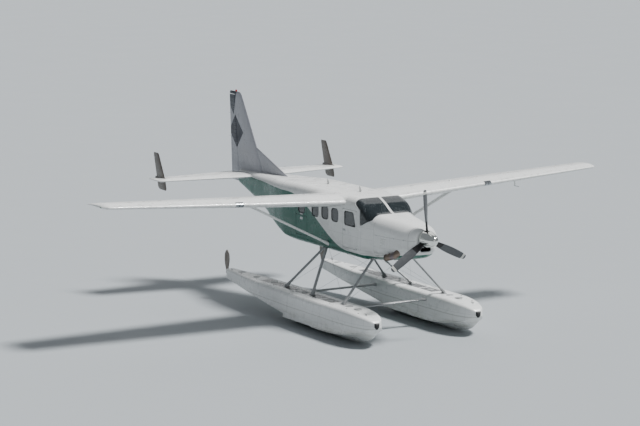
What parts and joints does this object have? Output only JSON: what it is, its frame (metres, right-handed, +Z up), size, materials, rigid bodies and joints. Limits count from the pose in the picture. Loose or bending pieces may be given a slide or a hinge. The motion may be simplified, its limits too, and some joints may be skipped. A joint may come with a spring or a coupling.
{
  "type": "floatplane",
  "caption": "High-wing single-turboprop floatplane on twin floats, strut braced, with hollow cabin, opening doors, flaps, tail finlets and lifting water rudders.",
  "frame": {"origin": "centre of the bounding box's footprint, on the floor under the two float keels", "axes": "+X to the nose, +Y to port along the wing, +Z up"},
  "size_m": [11.46, 15.873, 5.78],
  "materials": {
    "white_paint": "semi-gloss white aircraft enamel on riveted sheet",
    "teal_paint": "semi-gloss deep teal green enamel on riveted sheet",
    "float_paint": "white marine enamel on riveted sheet, a little weathered",
    "strut_paint": "satin grey paint on steel tube",
    "polished_metal": "polished metal",
    "blade_paint": "matt dark grey paint",
    "exhaust_steel": "heat-stained bare steel",
    "engine_metal": "bare cast casing",
    "window_glass": "lightly tinted clear acrylic",
    "cockpit_trim": "matt black crackle finish",
    "seat_leather": "grey-brown leather",
    "carpet": "dark grey short-pile carpet",
    "rudder_blade_metal": "dull grey-brown painted plate"
  },
  "bodies": {
    "airframe": {"cabin_shell": "white_paint", "cabin_floor": "carpet", "tail_cone": "teal_paint", "engine_cowl": "white_paint", "engine_block": "engine_metal", "exhaust_stack": "exhaust_steel", "windshield": "window_glass", "cabin_glass_left": "window_glass", "cabin_glass_right": "window_glass", "wing_left": "white_paint", "wing_right": "white_paint", "wing_strut_left": "white_paint", "wing_strut_right": "white_paint", "stabilizer": "white_paint", "vertical_fin": "white_paint", "finlet_left": "white_paint", "finlet_right": "white_paint", "instrument_panel": "cockpit_trim", "crew_seats": "seat_leather", "cabin_seats_left": "seat_leather", "cabin_seats_right": "seat_leather", "float_left": "float_paint", "float_right": "float_paint", "front_strut_left": "strut_paint", "front_strut_right": "strut_paint", "rear_strut_left": "strut_paint", "rear_strut_right": "strut_paint", "spreader_bar_front": "strut_paint", "spreader_bar_rear": "strut_paint"},
    "propeller": {"propeller_blades": "blade_paint", "spinner": "polished_metal"},
    "aileron_left": {"aileron_left": "white_paint"},
    "aileron_right": {"aileron_right": "white_paint"},
    "flap_left": {"flap_left": "white_paint"},
    "flap_right": {"flap_right": "white_paint"},
    "elevator": {"elevator": "white_paint"},
    "rudder": {"rudder": "white_paint"},
    "crew_door_left": {"crew_door_left": "white_paint", "crew_door_glass_left": "window_glass"},
    "crew_door_right": {"crew_door_right": "white_paint", "crew_door_glass_right": "window_glass"},
    "cargo_door_upper": {"cargo_door_upper": "white_paint", "cargo_door_glass": "window_glass"},
    "cargo_door_lower": {"cargo_door_lower": "teal_paint"},
    "passenger_door_upper": {"passenger_door_upper": "white_paint", "passenger_door_glass": "window_glass"},
    "passenger_door_lower": {"passenger_door_lower": "teal_paint"},
    "water_rudder_post_left": {"water_rudder_post_left": "strut_paint"},
    "water_rudder_post_right": {"water_rudder_post_right": "strut_paint"},
    "water_rudder_blade_left": {"water_rudder_blade_left": "rudder_blade_metal"},
    "water_rudder_blade_right": {"water_rudder_blade_right": "rudder_blade_metal"}
  },
  "joints": [
    {"name": "propeller_spin", "type": "hinge", "parent": "airframe", "child": "propeller", "pos_m": [5.3, 0, 2.8], "axis": [1, 0, 0], "continuous": true},
    {"name": "aileron_left_hinge", "type": "hinge", "parent": "airframe", "child": "aileron_left", "pos_m": [1.09992, 4.95329, 3.65791], "axis": [0.0399, 0.9978, 0.0524], "range_deg": [-20, 20]},
    {"name": "aileron_right_hinge", "type": "hinge", "parent": "airframe", "child": "aileron_right", "pos_m": [1.09992, -4.95329, 3.65791], "axis": [-0.0399, 0.9978, -0.0524], "range_deg": [-20, 20]},
    {"name": "flap_left_hinge", "type": "hinge", "parent": "airframe", "child": "flap_left", "pos_m": [0.93677, 0.86892, 3.44338], "axis": [-0.0399, -0.9978, -0.0524], "range_deg": [0, 30]},
    {"name": "flap_right_hinge", "type": "hinge", "parent": "airframe", "child": "flap_right", "pos_m": [0.93677, -0.86892, 3.44338], "axis": [0.0399, -0.9978, 0.0524], "range_deg": [0, 30]},
    {"name": "elevator_hinge", "type": "hinge", "parent": "airframe", "child": "elevator", "pos_m": [-4.67, 0, 3.4], "axis": [0, 1, 0], "range_deg": [-20, 25]},
    {"name": "rudder_hinge", "type": "hinge", "parent": "airframe", "child": "rudder", "pos_m": [-5.06, 0, 3.075], "axis": [-0.1224, 0, 0.9925], "range_deg": [-25, 25]},
    {"name": "crew_door_left_hinge", "type": "hinge", "parent": "airframe", "child": "crew_door_left", "pos_m": [2.99, 0.792, 2.24], "axis": [0, 0, -1], "range_deg": [0, 90]},
    {"name": "crew_door_right_hinge", "type": "hinge", "parent": "airframe", "child": "crew_door_right", "pos_m": [2.99, -0.792, 2.24], "axis": [0, 0, 1], "range_deg": [0, 90]},
    {"name": "cargo_door_upper_hinge", "type": "hinge", "parent": "airframe", "child": "cargo_door_upper", "pos_m": [0.28, 0.792, 3.345], "axis": [1, 0, 0], "range_deg": [0, 100]},
    {"name": "cargo_door_lower_hinge", "type": "hinge", "parent": "airframe", "child": "cargo_door_lower", "pos_m": [0.27, 0.792, 2.24], "axis": [0, 0, -1], "range_deg": [0, 120]},
    {"name": "passenger_door_upper_hinge", "type": "hinge", "parent": "airframe", "child": "passenger_door_upper", "pos_m": [0.28, -0.792, 3.345], "axis": [-1, 0, 0], "range_deg": [0, 100]},
    {"name": "passenger_door_lower_hinge", "type": "hinge", "parent": "airframe", "child": "passenger_door_lower", "pos_m": [0.28, -0.792, 2.25], "axis": [1, 0, 0], "range_deg": [0, 110]},
    {"name": "water_rudder_left_turn", "type": "hinge", "parent": "airframe", "child": "water_rudder_post_left", "pos_m": [-2.832, 1.61, 0.64], "axis": [0, 0, 1], "range_deg": [-30, 30]},
    {"name": "water_rudder_right_turn", "type": "hinge", "parent": "airframe", "child": "water_rudder_post_right", "pos_m": [-2.832, -1.61, 0.64], "axis": [0, 0, 1], "range_deg": [-30, 30]},
    {"name": "water_rudder_left_lift", "type": "hinge", "parent": "water_rudder_post_left", "child": "water_rudder_blade_left", "pos_m": [-2.955, 1.61, 0.79], "axis": [0, -1, 0], "range_deg": [0, 150]},
    {"name": "water_rudder_right_lift", "type": "hinge", "parent": "water_rudder_post_right", "child": "water_rudder_blade_right", "pos_m": [-2.955, -1.61, 0.79], "axis": [0, -1, 0], "range_deg": [0, 150]}
  ],
  "couplings": [
    {"joint": "aileron_right_hinge", "follows": "aileron_left_hinge", "ratio": -1},
    {"joint": "flap_right_hinge", "follows": "flap_left_hinge", "ratio": 1},
    {"joint": "water_rudder_right_turn", "follows": "water_rudder_left_turn", "ratio": 1},
    {"joint": "water_rudder_right_lift", "follows": "water_rudder_left_lift", "ratio": 1}
  ]
}
